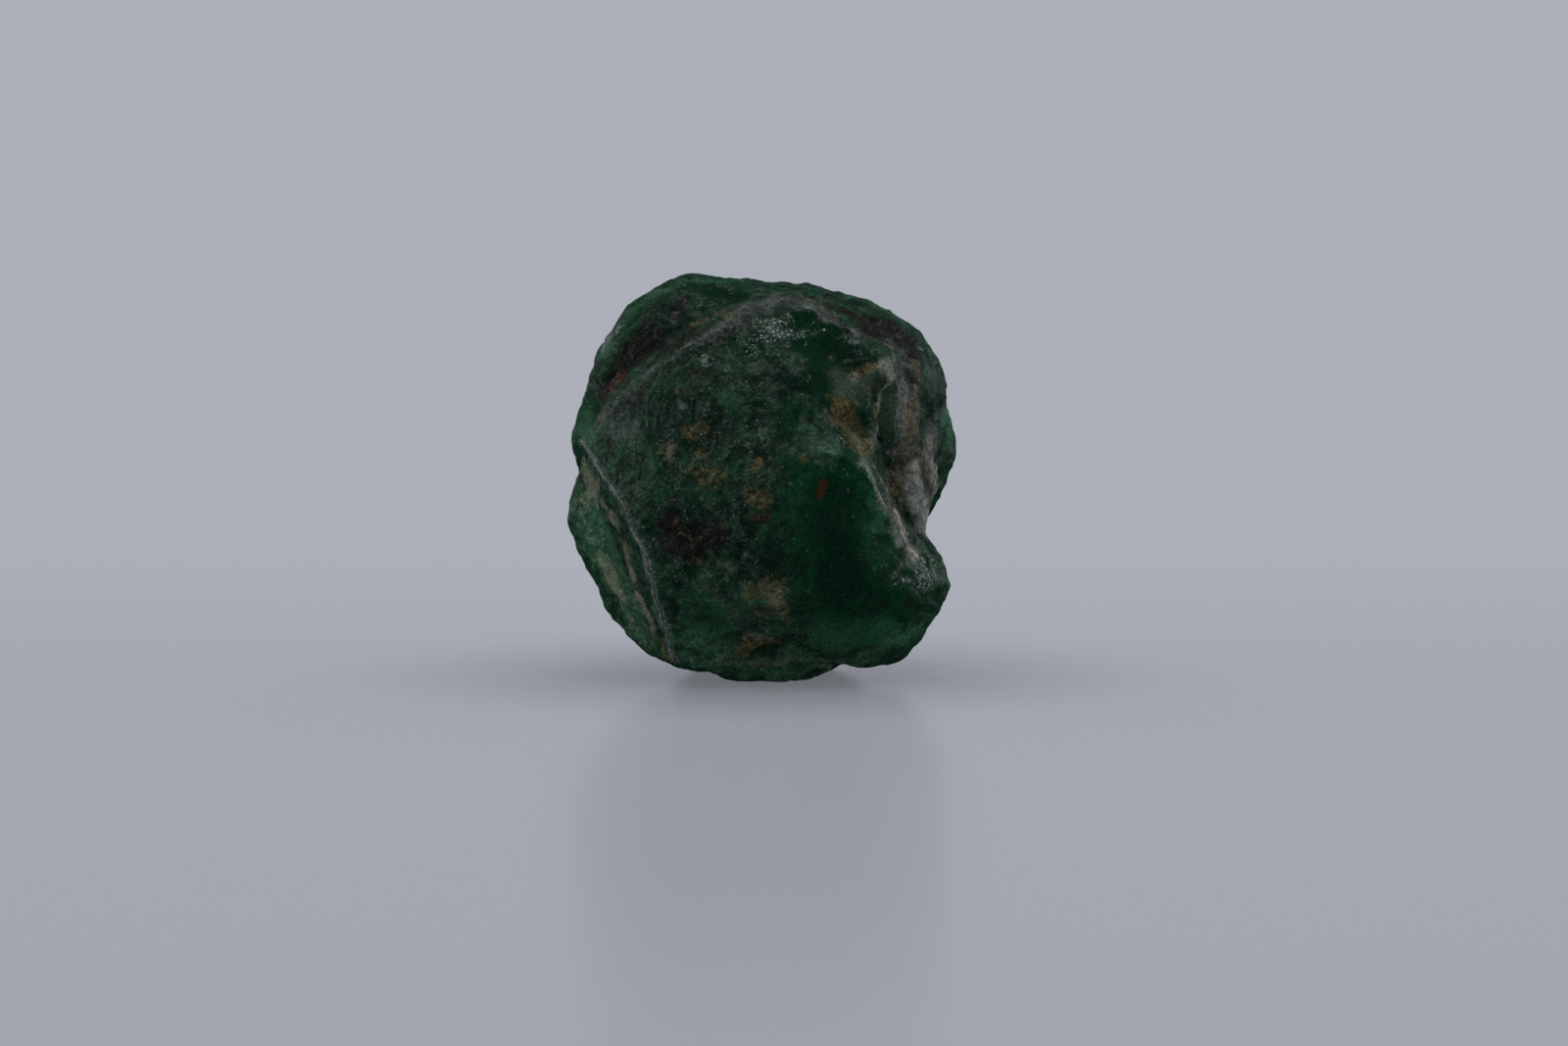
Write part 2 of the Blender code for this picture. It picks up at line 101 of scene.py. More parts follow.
# ---------------------------------------------------------------- marks
# Where each mark lies, seen from the front: (path of (right, up), half width, strength).
MARKS = {
    "mica": [  # grey flakes
        ([(-2.3, 17.9), (-1.1, 18.9), (0.6, 19.8)], 0.55, 0.8),
        ([(-8.5, 13.5), (-6.3, 15.1), (-4.0, 17.1), (-1.9, 18.1)], 0.3, 0.7),
        ([(0.6, 20.0), (2.2, 19.7), (3.6, 18.8)], 0.35, 0.8),
        ([(3.6, 18.7), (5.2, 17.9), (7.2, 17.2)], 0.2, 0.6), ([(-7.1, 13.8)], 1.1, 0.5),
        ([(7.5, 15.3), (8.0, 12.5), (7.5, 10.5)], 0.9, 0.8), ([(7.4, 16.8), (7.2, 14.3)], 0.51, 1.0),
        ([(8.8, 12.5), (8.6, 9.7)], 0.77, 0.95), ([(6.5, 10.5), (7.0, 8.4), (7.8, 6.6)], 0.67, 1.0),
        ([(8.6, 10.1), (8.4, 8.4)], 0.51, 0.9), ([(4.6, 15.2), (5.5, 14.7)], 0.7, 0.3),
        ([(0.5, 15.1), (0.9, 10.7)], 0.46, 0.35), ([(-2.6, 4.9), (-0.7, 2.8)], 0.56, 0.4),
        ([(-9.2, 10.7), (-8.5, 9.7)], 0.46, 0.6), ([(-7.8, 5.3), (-7.3, 4.2)], 0.36, 0.7),
    ],
    "stain": [  # ochre
        ([(7.9, 14.6), (7.6, 13.3), (7.8, 12.2)], 0.4, 0.6),
        ([(7.2, 11.6), (6.9, 10.3), (7.3, 9.2)], 0.35, 0.6), ([(8.4, 11.9), (8.6, 11.0)], 0.3, 0.8),
        ([(-3.2, 18.6), (-1.8, 19.1)], 0.41, 0.65), ([(-4.4, 14.9)], 0.31, 0.6),
        ([(-8.4, 13.5)], 0.26, 0.6), ([(-4.9, 12.0)], 0.41, 0.6), ([(-3.8, 12.9), (-3.1, 13.0)], 0.41, 0.6),
        ([(-3.4, 10.6), (-2.2, 10.6)], 0.51, 0.55), ([(-3.1, 11.9)], 0.41, 0.5),
        ([(-0.2, 11.2)], 0.36, 0.85), ([(-0.5, 9.8), (0.2, 9.3)], 0.41, 0.85), ([(3.7, 16.8)], 0.21, 0.6),
        ([(4.9, 16.1), (5.8, 16.3)], 0.31, 0.85), ([(4.1, 14.3), (4.4, 13.0), (5.2, 12.2)], 0.67, 0.9),
        ([(6.1, 14.1), (5.9, 13.4)], 0.23, 1.0), ([(7.8, 16.5), (8.1, 15.4)], 0.26, 0.9),
        ([(7.7, 12.9)], 0.31, 0.85), ([(7.1, 12.3), (7.4, 10.9)], 0.36, 0.6),
        ([(6.6, 10.4), (6.5, 8.9)], 0.36, 0.75), ([(8.3, 10.5)], 0.46, 0.5),
        ([(-0.7, 4.6), (0.2, 4.8)], 0.41, 0.9), ([(0.7, 4.8), (1.1, 3.4)], 0.41, 0.8),
        ([(-0.8, 1.8), (0.6, 2.3)], 0.31, 0.95), ([(0.4, 5.3)], 0.21, 0.8), ([(0.0, 3.7)], 0.41, 0.6),
        ([(-8.3, 9.4), (-7.4, 7.8)], 0.21, 0.95), ([(-7.0, 6.9), (-6.7, 5.2)], 0.26, 0.85),
        ([(-8.9, 10.9), (-8.7, 10.3)], 0.21, 0.7), ([(-5.6, 2.8), (-4.9, 1.4)], 0.21, 0.8),
        ([(-6.3, 1.8)], 0.21, 0.7), ([(-4.5, 8.1), (-3.8, 7.6)], 0.15, 0.9), ([(-3.1, 1.1)], 0.31, 0.5),
        ([(-1.7, 1.1)], 0.46, 0.45), ([(3.1, 1.2)], 0.26, 0.6), ([(1.7, 11.7), (2.3, 11.6)], 0.21, 0.5),
        ([(2.1, 13.6)], 0.31, 0.35), ([(-3.4, 6.3)], 0.31, 0.6), ([(-9.3, 9.5)], 0.41, 0.5),
    ],
    "rust": [  # red-brown spots
        ([(-8.0, 15.2), (-7.5, 15.9)], 0.3, 1.2), ([(2.8, 9.6), (3.2, 10.0)], 0.21, 0.9),
        ([(-0.5, 8.7), (0.2, 8.5)], 0.18, 0.75), ([(2.6, 14.4)], 0.15, 0.7), ([(-3.8, 4.2)], 0.13, 0.7),
        ([(5.5, 6.5)], 0.15, 0.9), ([(6.3, 5.8)], 0.13, 0.7), ([(6.7, 6.6)], 0.15, 0.5),
        ([(4.5, 8.7), (4.3, 8.3)], 0.15, 0.45), ([(-6.7, 3.1), (-6.3, 2.5)], 0.15, 0.6),
        ([(-6.0, 2.5), (-5.6, 2.2)], 0.15, 0.8), ([(9.6, 5.0)], 0.13, 0.6), ([(-6.8, 5.4)], 0.1, 0.4),
    ],
    "dark": [  # brown-black pit and matrix, partly painted shade in hollows, grooves and the valley behind the brow
        ([(5.4, 18.3), (6.9, 17.8), (8.1, 16.9)], 0.5, 1.0),
        ([(-4.6, 8.3), (-3.9, 7.5), (-2.4, 7.7)], 0.62, 1.0), ([(-4.8, 7.1), (-3.1, 6.9)], 0.46, 1.0),
        ([(3.7, 19.5), (5.0, 18.9), (6.3, 18.5), (7.6, 17.8)], 0.5, 1.0),
        ([(5.6, 18.7), (7.0, 18.2)], 0.5, 1.0), ([(-1.8, 20.1)], 0.36, 0.6),
        ([(1.1, 20.0), (2.3, 20.1)], 0.21, 0.5), ([(-4.0, 19.8), (-4.5, 18.8)], 0.41, 0.65),
        ([(-5.6, 18.2), (-6.6, 17.0)], 0.56, 0.75), ([(-7.1, 16.7), (-8.4, 15.0)], 0.5, 0.7),
        ([(-6.3, 17.6), (-4.9, 17.2), (-3.6, 18.1)], 0.6, 0.7),
        ([(-7.7, 16.2), (-6.8, 17.1), (-5.6, 17.5)], 0.6, 0.75), ([(-7.1, 15.4)], 0.5, 0.6),
        ([(8.3, 17.1), (8.8, 16.3)], 0.3, 0.4), ([(9.2, 13.9)], 0.18, 0.8), ([(9.5, 11.5)], 0.21, 0.7),
        ([(-6.3, 3.4), (-5.4, 1.9)], 0.15, 0.85), ([(-4.3, 5.0)], 0.21, 0.7),
        ([(7.5, 4.2), (8.1, 3.8)], 0.26, 0.6), ([(-3.0, 15.9)], 0.62, 0.5), ([(1.6, 15.4)], 0.26, 0.5),
        ([(-1.9, 13.0)], 0.36, 0.35), ([(-9.1, 14.8)], 0.31, 0.5),
    ],
    "deep": [  # deeper green
        ([(-5.6, 19.7), (-4.6, 18.5)], 0.9, 0.9), ([(2.2, 18.6), (3.6, 17.8), (4.3, 16.9)], 0.9, 1.0),
        ([(3.4, 8.9), (4.2, 5.3)], 1.33, 0.8), ([(6.3, 4.8)], 1.03, 0.5),
        ([(1.6, 18.4), (2.7, 17.9), (3.3, 17.0), (3.2, 15.9)], 1.1, 1.2),
        ([(0.9, 15.9), (2.3, 15.2)], 0.9, 0.7), ([(-4.0, 20.5), (-1.9, 20.1), (0.6, 19.8)], 0.6, 1.1),
        ([(3.4, 20.1), (5.5, 19.5), (7.0, 18.6)], 0.3, 0.9), ([(-4.5, 13.8), (-2.7, 12.8)], 0.9, 1.0),
        ([(8.5, 16.9), (8.9, 15.9), (9.2, 14.9)], 0.6, 1.3), ([(-5.3, 13.5), (-5.8, 12.8)], 0.72, 0.5),
        ([(-4.0, 18.2)], 0.51, 0.4),
    ],
    "pale": [  # paler green, partly painted glow where light comes through thin edges and the base
        ([(2.4, 2.6), (4.6, 2.2), (6.2, 2.6)], 1.0, 0.75), ([(-3.2, 4.3), (-1.8, 3.2)], 1.0, 0.6),
        ([(-0.9, 1.1), (1.9, 1.1)], 0.5, 0.8), ([(-0.6, 4.6), (0.8, 3.1)], 0.9, 0.8),
        ([(0.3, 7.9)], 0.8, 0.35), ([(-8.5, 16.9), (-7.8, 17.5)], 0.26, 1.0),
        ([(-7.1, 18.9), (-5.8, 19.9), (-4.4, 20.7)], 0.56, 0.7), ([(-4.0, 20.9), (-1.7, 20.8)], 0.26, 0.6),
        ([(-3.1, 20.2)], 0.62, 0.3), ([(-9.2, 13.4), (-9.0, 12.6)], 0.51, 0.8),
        ([(4.1, 20.2), (5.7, 19.8), (7.4, 18.8)], 0.21, 1.0), ([(8.2, 18.1), (8.8, 17.0)], 0.18, 0.7),
        ([(9.5, 14.2), (9.8, 12.4)], 0.45, 1.2), ([(8.9, 9.3), (9.2, 10.0)], 0.21, 0.9),
        ([(-1.9, 14.8), (-1.5, 14.3)], 0.56, 0.5), ([(3.6, 16.8), (4.0, 16.5)], 0.41, 0.7),
        ([(2.9, 18.1)], 0.41, 0.45), ([(2.1, 13.0), (3.3, 12.4)], 0.72, 0.55), ([(0.9, 12.5)], 0.41, 0.3),
        ([(-8.6, 8.7), (-8.0, 7.6)], 0.67, 1.0), ([(-7.0, 5.0), (-6.3, 3.7)], 0.26, 1.0),
        ([(-7.7, 6.8)], 0.6, 0.9), ([(-9.7, 7.9), (-9.1, 6.9)], 0.26, 0.9),
        ([(-7.6, 3.3), (-7.1, 2.5)], 0.26, 0.6), ([(-3.7, 2.8), (-1.7, 2.3)], 0.77, 0.65),
        ([(-4.0, 1.3), (-3.2, 0.9)], 0.36, 0.7), ([(-0.4, 0.3), (0.6, 0.3)], 0.26, 0.9),
        ([(-4.5, 4.8)], 0.41, 0.4), ([(3.7, 2.0), (6.3, 1.9), (7.8, 2.5)], 0.51, 0.6),
        ([(5.5, 9.5), (6.2, 7.9)], 0.41, 0.6), ([(4.1, 7.9)], 0.21, 0.7), ([(8.3, 2.8)], 0.31, 0.5),
        ([(-5.1, 9.5)], 0.36, 0.6), ([(-7.8, 11.6), (-6.8, 11.9)], 0.51, 0.45), ([(3.4, 0.6)], 0.31, 0.8),
        ([(-0.7, 12.8)], 0.46, 0.3), ([(7.8, 6.4)], 0.46, 0.5),
    ],
    "milky_and_highlight": [  # milky spots, and painted highlights on the peak, the brow, the upper left edge and the lobe tip
        ([(-3.0, 16.5)], 0.26, 1.4), ([(-8.2, 17.5), (-7.5, 18.2)], 0.3, 0.6),
        ([(8.3, 5.9), (8.8, 5.5)], 0.3, 0.5), ([(-7.9, 13.2), (-6.7, 12.9)], 0.6, 0.3),
        ([(0.5, 18.4), (1.1, 18.1)], 0.4, 0.5), ([(7.0, 7.4), (6.6, 8.0)], 0.3, 0.5),
        ([(6.3, 16.5), (6.5, 16.2)], 0.36, 1.0), ([(6.8, 15.9), (6.1, 15.1), (5.9, 14.3)], 0.11, 0.9),
        ([(7.0, 15.3), (7.0, 13.0), (6.7, 11.6)], 0.11, 0.8), ([(5.9, 13.1), (5.4, 12.1)], 0.11, 0.9),
        ([(5.2, 11.3), (5.7, 10.2), (6.2, 9.1)], 0.3, 1.0), ([(7.1, 7.3)], 0.18, 0.6),
        ([(7.8, 6.5)], 0.36, 0.35), ([(-4.2, 14.2)], 0.23, 0.8), ([(-4.9, 12.1)], 0.18, 0.6),
        ([(-9.0, 12.1), (-7.5, 9.5), (-6.0, 6.4), (-4.5, 1.2)], 0.15, 0.55), ([(-0.7, 6.6)], 0.26, 0.6),
        ([(-5.9, 3.4)], 0.21, 0.6), ([(-7.5, 4.2)], 0.21, 0.6), ([(1.5, 10.1)], 0.1, 1.0),
        ([(7.2, 5.1)], 0.1, 0.8), ([(4.4, 7.7)], 0.06, 0.9), ([(-7.6, 14.5)], 0.13, 0.8),
        ([(4.7, 17.9), (4.5, 17.6)], 0.15, 0.6), ([(8.2, 17.3)], 0.21, 0.7),
        ([(7.6, 10.3), (8.1, 9.2), (8.5, 8.0)], 0.5, 1.0), ([(-9.2, 11.5), (-8.6, 10.5)], 0.15, 0.5),
    ],
    "grit": [  # rough broken ground
        ([(-8.1, 13.0), (-6.1, 15.1), (-4.0, 17.4), (-0.9, 18.9)], 1.44, 1.0),
        ([(-7.1, 14.1), (-4.0, 15.1)], 2.05, 0.9), ([(-4.0, 13.0), (-2.5, 11.5)], 2.31, 0.8),
        ([(-0.9, 17.6), (-0.7, 14.1), (-0.2, 11.0)], 1.13, 0.8), ([(-7.1, 10.0), (-4.5, 10.5)], 1.54, 0.8),
        ([(-4.5, 8.9), (-5.0, 4.8)], 1.8, 0.6), ([(-1.9, 10.0), (-1.4, 6.9)], 1.54, 0.6),
        ([(3.7, 13.5), (5.5, 12.0)], 1.54, 0.9), ([(4.7, 17.9), (7.0, 17.6)], 1.13, 0.9),
        ([(7.5, 16.1), (8.1, 12.5), (7.8, 8.9)], 1.64, 1.0), ([(6.5, 20.2), (7.3, 18.7)], 1.03, 0.7),
        ([(-0.4, 5.3), (1.1, 2.3)], 1.54, 0.8), ([(-4.5, 18.7), (-6.1, 17.6)], 1.28, 0.4),
        ([(1.1, 19.7), (4.2, 19.2)], 0.72, 0.8), ([(-8.4, 11.0), (-7.1, 6.9), (-4.5, 1.2)], 0.72, 0.8),
        ([(-8.1, 6.9), (-6.1, 2.8)], 0.72, 0.5), ([(0.6, 17.9)], 1.13, 1.0),
    ],
    "glass": [  # smooth glassy ground
        ([(3.6, 9.7), (3.7, 6.9), (4.3, 4.2)], 2.26, 1.0),
        ([(-4.0, 20.6), (-1.7, 20.1), (1.1, 19.9)], 0.6, 0.7), ([(8.6, 16.9), (9.0, 15.2)], 0.6, 1.0),
        ([(6.5, 4.6), (6.3, 2.8)], 1.74, 1.0), ([(5.0, 10.0), (6.5, 6.9)], 0.72, 1.0),
        ([(6.5, 15.0), (6.5, 13.5), (6.2, 12.0)], 0.31, 1.0),
        ([(2.4, 18.3), (3.3, 16.9), (3.4, 15.4)], 1.5, 1.0), ([(8.6, 15.9)], 0.56, 0.7),
    ],
    "clear": [  # clear bright green with pale wisps, partly painted glow where light comes through the thin left face, the right edge and the base
        ([(-9.0, 8.9), (-8.5, 6.9), (-7.3, 4.8), (-6.3, 2.8)], 1.1, 1.0),
        ([(-8.9, 10.9), (-8.8, 9.8)], 0.5, 0.6), ([(-3.8, 2.3), (-2.2, 1.6)], 0.8, 0.85),
        ([(-3.6, 1.2), (-1.0, 0.6), (1.4, 0.5), (2.6, 0.8)], 0.6, 0.8),
        ([(1.4, 1.3), (4.5, 1.2), (7.3, 2.3)], 0.7, 0.8), ([(-3.0, 5.2)], 0.7, 0.5),
        ([(9.7, 13.8), (9.9, 12.2)], 0.3, 1.0), ([(-5.9, 20.1), (-4.1, 20.5)], 0.5, 0.4),
        ([(-8.8, 12.9)], 0.4, 0.7), ([(2.1, 12.4), (3.3, 11.9)], 0.7, 0.4),
    ],
    "slot": [  # the slot at the upper right
        ([(6.62, 15.1), (6.5, 14.3), (6.42, 13.3), (6.25, 12.3)], 0.42, 1.0),
    ],
    "haze": [  # dull grey-green
        ([(6.5, 15.3), (6.7, 14.1), (6.5, 12.5)], 0.3, 1.0), ([(7.8, 6.9), (7.0, 5.8)], 0.3, 0.6),
        ([(4.2, 15.6), (5.6, 15.2)], 0.75, 1.0), ([(2.2, 12.5), (3.4, 11.7)], 0.6, 0.4),
    ],
    "silk": [  # silky threads, and the painted sheen on the channel beside the lobe
        ([(7.6, 10.8), (8.0, 9.6), (8.4, 8.8), (8.6, 7.8)], 0.6, 1.0),
        ([(6.9, 8.6), (7.5, 7.2), (7.9, 6.4)], 0.4, 0.7),
        ([(8.9, 11.1), (9.1, 10.2), (8.7, 8.9)], 0.4, 1.0),
        ([(7.3, 15.8), (7.4, 13.6), (7.2, 11.9)], 0.35, 0.4), ([(8.6, 12.4), (8.9, 10.6)], 0.5, 0.5),
    ],
    "cream": [  # cream crust
        ([(-9.2, 10.9), (-8.7, 10.2)], 0.5, 0.8), ([(-0.8, 1.0), (1.9, 1.1)], 0.5, 0.5),
        ([(8.9, 10.8), (9.2, 10.2)], 0.3, 0.8), ([(-9.0, 10.5), (-8.6, 9.6)], 0.5, 0.9),
        ([(-8.2, 9.2), (-7.5, 8.0)], 0.3, 1.1), ([(-7.0, 6.5), (-6.7, 5.4)], 0.3, 0.9),
        ([(-6.4, 4.3), (-5.7, 3.0)], 0.35, 1.0), ([(-8.2, 6.2), (-7.5, 4.5)], 0.5, 0.8),
        ([(-7.1, 3.6), (-6.8, 3.1)], 0.2, 0.6), ([(5.8, 14.2), (5.8, 13.7)], 0.2, 1.0),
        ([(-9.1, 11.1), (-8.8, 10.1), (-9.2, 9.5)], 0.4, 0.9),
        ([(5.4, 10.9), (5.7, 10.2), (6.2, 9.3)], 0.15, 0.6), ([(6.1, 16.3), (6.5, 15.9)], 0.35, 0.9),
        ([(4.9, 12.6), (5.4, 11.5)], 0.35, 0.5), ([(-0.9, 2.2), (0.0, 2.4)], 0.3, 0.6),
        ([(0.2, 4.9), (0.8, 4.2)], 0.4, 0.5), ([(-2.2, 1.1), (-0.6, 1.1)], 0.3, 0.4),
        ([(-2.5, 6.3), (-1.6, 5.8)], 0.4, 0.4), ([(2.9, 0.9), (3.6, 0.7)], 0.2, 0.8),
        ([(-4.6, 11.9)], 0.3, 0.4),
    ],
    "painted_glint": [  # painted glints: white flecks where glints show, made glossier as well
        ([(0.3, 18.3), (1.1, 18.2)], 0.7, 1.0), ([(8.3, 5.4), (8.9, 6.2)], 0.55, 1.0),
        ([(-8.2, 17.6), (-7.5, 18.2)], 0.46, 0.8), ([(-2.9, 16.5)], 0.36, 1.0),
        ([(-0.4, 16.9), (-0.8, 17.6)], 0.62, 0.5), ([(5.5, 17.7), (5.2, 17.2)], 0.46, 0.35),
        ([(-6.8, 9.6)], 0.36, 0.4), ([(4.1, 12.4)], 0.46, 0.6), ([(5.6, 11.7)], 0.26, 0.7),
        ([(5.6, 10.6)], 0.21, 0.8), ([(-3.0, 12.0)], 0.26, 0.4), ([(8.1, 2.8), (8.6, 3.3)], 0.31, 0.5),
    ],
}
MARK_BEND = ((1.1, 0.42), (3.6, 0.12))  # how marks' borders wander: frequency per millimetre and reach
MARK_FADE = 0.6  # how soft a mark's border is, as a share of its half width

# Bands of fine parallel lines along torn edges, silvery with painted highlights: (path of (right, up), half
# width, strength).
BANDS = {
    "left edge, upper part":
        ([(-9.4, 12.4), (-8.7, 11.5), (-8.0, 10.5), (-7.1, 9.3), (-6.6, 8.0), (-6.2, 6.9)], 0.18, 1.0),
    "left edge, lower part": ([(-6.2, 6.9), (-5.8, 5.8), (-5.4, 4.3), (-4.9, 2.5), (-4.5, 1.1)], 0.24, 1.0),
    "brow, left part": ([(-8.6, 13.0), (-7.1, 15.0), (-5.0, 16.5), (-3.5, 17.5), (-1.9, 18.4)], 0.18, 0.35),
    "brow, at the peak": ([(-1.8, 18.6), (-0.7, 19.5), (1.1, 19.8), (2.3, 19.4)], 0.3, 0.5),
    "brow, right part": ([(2.3, 19.4), (3.4, 18.8), (4.7, 18.1), (6.6, 17.5)], 0.15, 0.6),
    "right rim of the slot":
        ([(6.5, 17.9), (6.9, 16.6), (7.05, 15.1), (6.9, 13.5), (6.6, 11.9)], 0.16, 1.0),
    "left rim of the slot": ([(6.6, 15.7), (6.1, 15.0), (5.9, 14.2), (5.9, 13.1), (5.7, 12.0)], 0.11, 1.0),
    "upper edge of the lobe": ([(5.2, 11.5), (5.9, 10.8), (6.4, 10.0), (6.6, 8.4), (7.0, 7.1)], 0.2, 0.9),
    "channel beside the lobe": ([(7.2, 11.0), (7.8, 9.7), (8.2, 8.4), (8.5, 7.5)], 0.35, 0.4),
    "left face": ([(-7.1, 6.9), (-6.5, 4.8), (-5.6, 2.8)], 0.2, 0.4),
}
BAND_BEND = 0.4  # share of a mark's bend

UNSEEN = {  # blotches out of sight: frequency per millimetre, share of the surface and the most
    "mica": (0.3, 0.12, 0.8),
    "stain": (0.8, 0.06, 0.8),
    "rust": (0.9, 0.01, 0.8),
    "dark": (0.35, 0.08, 0.8),
    "deep": (0.25, 0.3, 0.9),
    "pale": (0.3, 0.2, 0.6),
    "clear": (0.25, 0.12, 0.7),
    "silk": (0.5, 0.02, 0.6),
    "cream": (0.6, 0.02, 0.6),
    "haze": (0.4, 0.06, 0.6),
    "milky_and_highlight": (0.9, 0.02, 0.6),
    "grit": (0.25, 0.6, 0.9),
    "glass": (0.15, 0.15, 1.0),
    "painted_glint": (0.5, 0.03, 0.7),
}
UNSEEN_CHARACTER = (0.8, 2.0, 4)  # the fractal's increment, lacunarity and octaves
UNSEEN_CRISPNESS = 2.5
UNSEEN_SHIFT = 10.0  # keeps one kind of blotch off another
TURNED_AWAY = (-0.15, 0.15)  # how far a place faces away where blotches start, and where they are whole

# ---------------------------------------------------------------- material
# Noises: frequency per millimetre (or per thread), octaves and roughness.
CLOUD = (0.35, 4, 0.6)
PATCHES = (0.75, 5, 0.7)
WISPS = (0.85, 6, 0.72)
MOTTLE = (0.9, 5, 0.65)
CRACKS = (1.1, 4, 0.6)
CLUSTERS = (1.3, 6, 0.75)
RAG = (2.6, 6, 0.72)
DUST_GRAINS = (6.0, 5, 0.8)
SPECK = (7.0, 3, 0.7)
SILK_THREADS = (1.0, 3, 0.6)

# Bends, which keep cells and lines from being straight: frequency per millimetre and reach.
CELL_BEND = (2.0, 0.5)
SPECK_BEND = (5.0, 0.16)
CRACK_BEND = (3.0, 0.3)
WISP_BEND = (2.2, 0.4)

BIG_SPLINTER = 0.5
BIG_SPLINTER_TILT = 0.3
SMALL_SPLINTER = 0.17
SMALL_SPLINTER_TILT = 0.45
MIRRORS = (0.72, 0.8)  # small splinters numbered over this shine more
FINE_SPECK = 0.09
NEEDLE = (0.5, 0.08)  # length and width
NEEDLE_LEAN = math.radians(-50)
SILK_THREAD = (2.2, 0.16)
SILK_LEAN = math.radians(70)
BAND_LINES = 16.0  # how often the lines of a band change in a millimetre

# How a painted mark's border is broken up: its softness, and how far the noise moves it.
BORDERS = {
    "grit": (0.35, 1.6),
    "painted_glint": (0.2, 0.6),
    "band": (0.5, 1.4),
    "pale": (0.45, 0.8),
    "clear": (0.5, 1.6),
    "deep": (0.4, 0.6),
    "mica": (0.35, 0.6),
    "silk": (0.4, 0.6),
    "dark": (0.4, 0.6),
    "stain": (0.45, 1.6),
    "cream": (0.45, 1.6),
    "rust": (0.5, 1.2),
    "milky_and_highlight": (0.5, 1.4),
    "haze": (0.45, 0.6),
}
WIDE_BORDERS = ("pale", "deep", "haze")  # broken up by the wider of two noises
WISP_BORDER = (0.5, 0.6)
MARK_LEVEL = 0.45  # the strength at which a mark begins

REFRACTION = 1.575
REFLECTION = 0.24  # the shader's specular level, where 0.5 is the plain amount
STONE_ROUGHNESS = 0.36

DEEP_GREEN = (0.0042, 0.0235, 0.0112, 1)
BODY_GREEN = (0.0055, 0.0510, 0.0205, 1)
CLOUD_GREEN = (0.0170, 0.0820, 0.0370, 1)
PALE_GREEN = (0.0350, 0.1420, 0.0680, 1)
CLEAR_GREEN = (0.0400, 0.1520, 0.0700, 1)
SLOT_GREEN = (0.0300, 0.0560, 0.0340, 1)
DUST = (0.0520, 0.0580, 0.0350, 1)
MICA_GREY = (0.1300, 0.1350, 0.1150, 1)
MICA_DARK = (0.0180, 0.0220, 0.0170, 1)
SILK_AND_SHEEN_GREY = (0.5000, 0.4800, 0.4000, 1)
SILK_DARK = (0.1100, 0.1050, 0.0800, 1)
SILVER_AND_HIGHLIGHT = (0.3200, 0.3800, 0.3400, 1)
OCHRE = (0.2300, 0.1600, 0.0620, 1)
OCHRE_DARK = (0.0750, 0.0560, 0.0200, 1)
CREAM = (0.2600, 0.2700, 0.1800, 1)
SAND = (0.2200, 0.1900, 0.1100, 1)
HAZE = (0.0900, 0.1150, 0.0750, 1)
RUST = (0.1000, 0.0200, 0.0120, 1)
PIT_AND_SHADE_BROWN = (0.0130, 0.0110, 0.0080, 1)
PAINTED_GLINT_WHITE = (0.8500, 0.9200, 0.9000, 1)
WISP = (0.1900, 0.2700, 0.1700, 1)
MILKY = (0.3000, 0.3500, 0.3100, 1)

# ---------------------------------------------------------------- camera, light and stage (metres)
CAMERA_DISTANCE = 0.42
CAMERA_HEIGHT_ANGLE = math.radians(5.0)
CAMERA_AIM = Vector((0.00113, 0.0, 0.00797))
CAMERA_LENS = 184.2
CAMERA_SENSOR = 36.0
CAMERA_NEAREST = 0.01
VIEW_AHEAD = Vector((0, math.cos(CAMERA_HEIGHT_ANGLE), -math.sin(CAMERA_HEIGHT_ANGLE)))
VIEW_UP = Vector((0, math.sin(CAMERA_HEIGHT_ANGLE), math.cos(CAMERA_HEIGHT_ANGLE)))
VIEW_FLOOR = -0.29  # millimetres: up = 0 in the marks is this far under the floor
VIEW_RUN = 40  # millimetres: a line of sight starts this far in front

STAGE_RADIUS = 0.9
STAGE_SEGMENTS = 96
BACKDROP_HEIGHT = 1.2
BACKDROP_COLOUR = (0.413, 0.430, 0.480, 1)
TABLE_COLOUR = (0.170, 0.175, 0.195, 1)
TABLE_ROUGHNESS = 0.22
TABLE_PAINTED_GLOW = (-0.02, 0.1, 0.525, 0.63)  # painted light: the table's glow, from one place to a farther one, and the glow at each
TABLE_PAINTED_SHADOW = (0.004, 0.026, 0.6, 1.0)  # painted shadow: from near the stone outwards, and the share of the glow at each
ROOM_LIGHT = (0.94, 0.95, 1.0, 1)
FRONT_LIGHT = (0.26, 0.27, 0.29, 1)
ROOM_DARK = (0.012, 0.013, 0.015, 1)
WALL_LIGHT = (0.2, 0.21, 0.23, 1)
LAMPS = (  # name, place, size and watts
    ("top_softbox", (0.03, -0.08, 0.48), (0.06, 0.06), 0.34),
    ("left_softbox", (-0.45, -0.03, 0.08), (0.09, 0.08), 0.25),
    ("right_softbox", (0.44, 0.08, 0.14), (0.09, 0.08), 0.22),
)
LAMP_AIM = Vector((0, 0, 0.01))


def points_of(mesh):
    points = np.empty(len(mesh.vertices) * 3)
    mesh.vertices.foreach_get("co", points)
    return points.reshape(-1, 3) / MM


def normals_of(mesh):
    normals = np.empty(len(mesh.vertices) * 3)
    mesh.vertices.foreach_get("normal", normals)
    return normals.reshape(-1, 3)


def put_points(mesh, points):
    """Moves the mesh's points, none of them out of the solid's own box."""
    points = np.clip(points, *(np.array(cad_box) / MM))
    mesh.vertices.foreach_set("co", (points * MM).ravel())
    mesh.update()


def paint(mesh, name, values):
    layer = mesh.attributes.new(name, "FLOAT", "POINT")
    layer.data.foreach_set("value", values.astype(np.float32))


